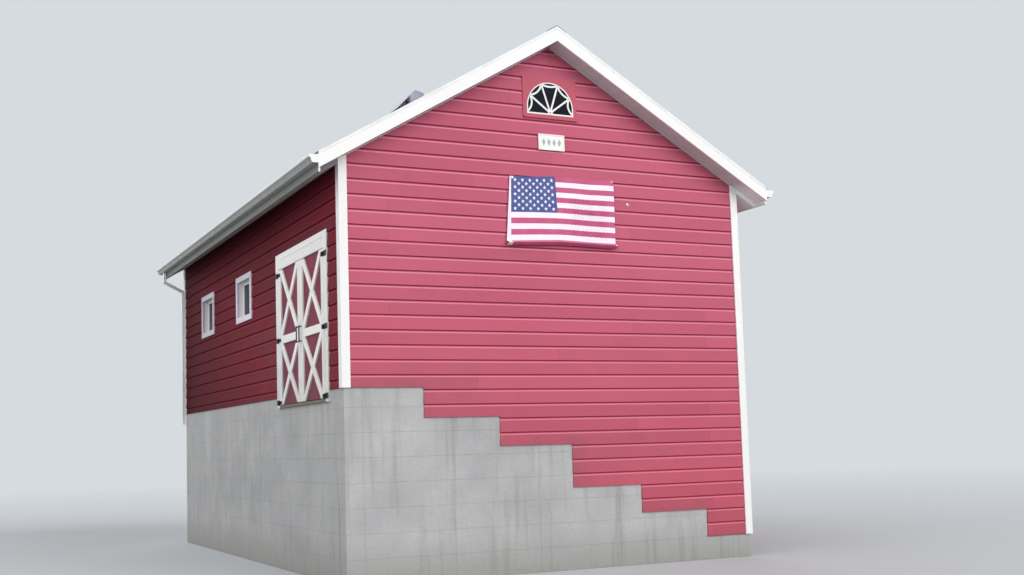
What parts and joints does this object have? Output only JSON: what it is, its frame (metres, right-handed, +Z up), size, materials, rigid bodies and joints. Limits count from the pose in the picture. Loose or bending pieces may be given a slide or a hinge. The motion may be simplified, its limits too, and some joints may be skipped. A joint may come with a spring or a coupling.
{
  "type": "barn",
  "caption": "Small bank barn with lapped siding, gable roof, fan window in the gable, flag on the front and paired braced doors on the uphill side.",
  "frame": {"origin": "centre of the plan at the lowest ground line", "axes": "+Z up; the front gable faces -Y; the uphill wall with the doors faces -X"},
  "size_m": [7.024, 9.674, 7.2361],
  "materials": {
    "concrete": "rough",
    "red_siding": "painted, weathered",
    "white_trim": "painted, satin",
    "timber": "rough sawn",
    "shingles": "granular",
    "soffit": "painted, matt",
    "gutter_metal": "satin",
    "vent_metal": "satin",
    "black_iron": "painted",
    "glass": "clear",
    "fan_glass": "dark",
    "sill_timber": "weathered",
    "plaque_board": "painted",
    "flag_cloth": "woven nylon"
  },
  "bodies": {
    "root": {"foundation_left": "concrete", "foundation_right": "concrete", "foundation_front": "concrete", "foundation_back": "concrete", "front_siding": "red_siding", "back_siding": "red_siding", "left_siding": "red_siding", "right_siding": "red_siding", "fan_panel": "red_siding", "corner_boards": "white_trim", "rake_boards": "white_trim", "eave_fascias": "white_trim", "door_jambs": "white_trim", "door_header": "white_trim", "window_casings": "white_trim", "window_sashes": "white_trim", "fan_frame": "white_trim", "front_wall": "timber", "back_wall": "timber", "left_wall_pier": "timber", "left_wall_over_door": "timber", "left_wall_rear": "timber", "right_wall": "timber", "floor_deck": "timber", "floor_joists": "timber", "floor_ledger": "timber", "floor_girder": "timber", "floor_posts": "timber", "rafters": "timber", "ridge_board": "timber", "roof_deck_left": "shingles", "roof_deck_right": "shingles", "rake_soffits": "soffit", "eave_soffits": "soffit", "eave_returns": "soffit", "gutters": "gutter_metal", "downspouts": "gutter_metal", "roof_vent": "vent_metal", "door_pintles": "black_iron", "window_glass": "glass", "fan_glass": "fan_glass", "door_sill": "sill_timber", "plaque": "plaque_board", "flag": "flag_cloth"},
    "near_leaf": {"near_leaf_panel": "red_siding", "near_leaf_frame": "white_trim", "near_leaf_straps": "black_iron", "near_leaf_handle": "black_iron"},
    "far_leaf": {"far_leaf_panel": "red_siding", "far_leaf_frame": "white_trim", "far_leaf_straps": "black_iron", "far_leaf_handle": "black_iron"}
  },
  "joints": [
    {"name": "near_leaf_hinge", "type": "hinge", "parent": "root", "child": "near_leaf", "pos_m": [-3.0658, -3.9255, 3.2785], "axis": [0, 0, 1], "range_deg": [0, 165]},
    {"name": "far_leaf_hinge", "type": "hinge", "parent": "root", "child": "far_leaf", "pos_m": [-3.0658, -1.8795, 3.2785], "axis": [0, 0, -1], "range_deg": [0, 165]}
  ]
}
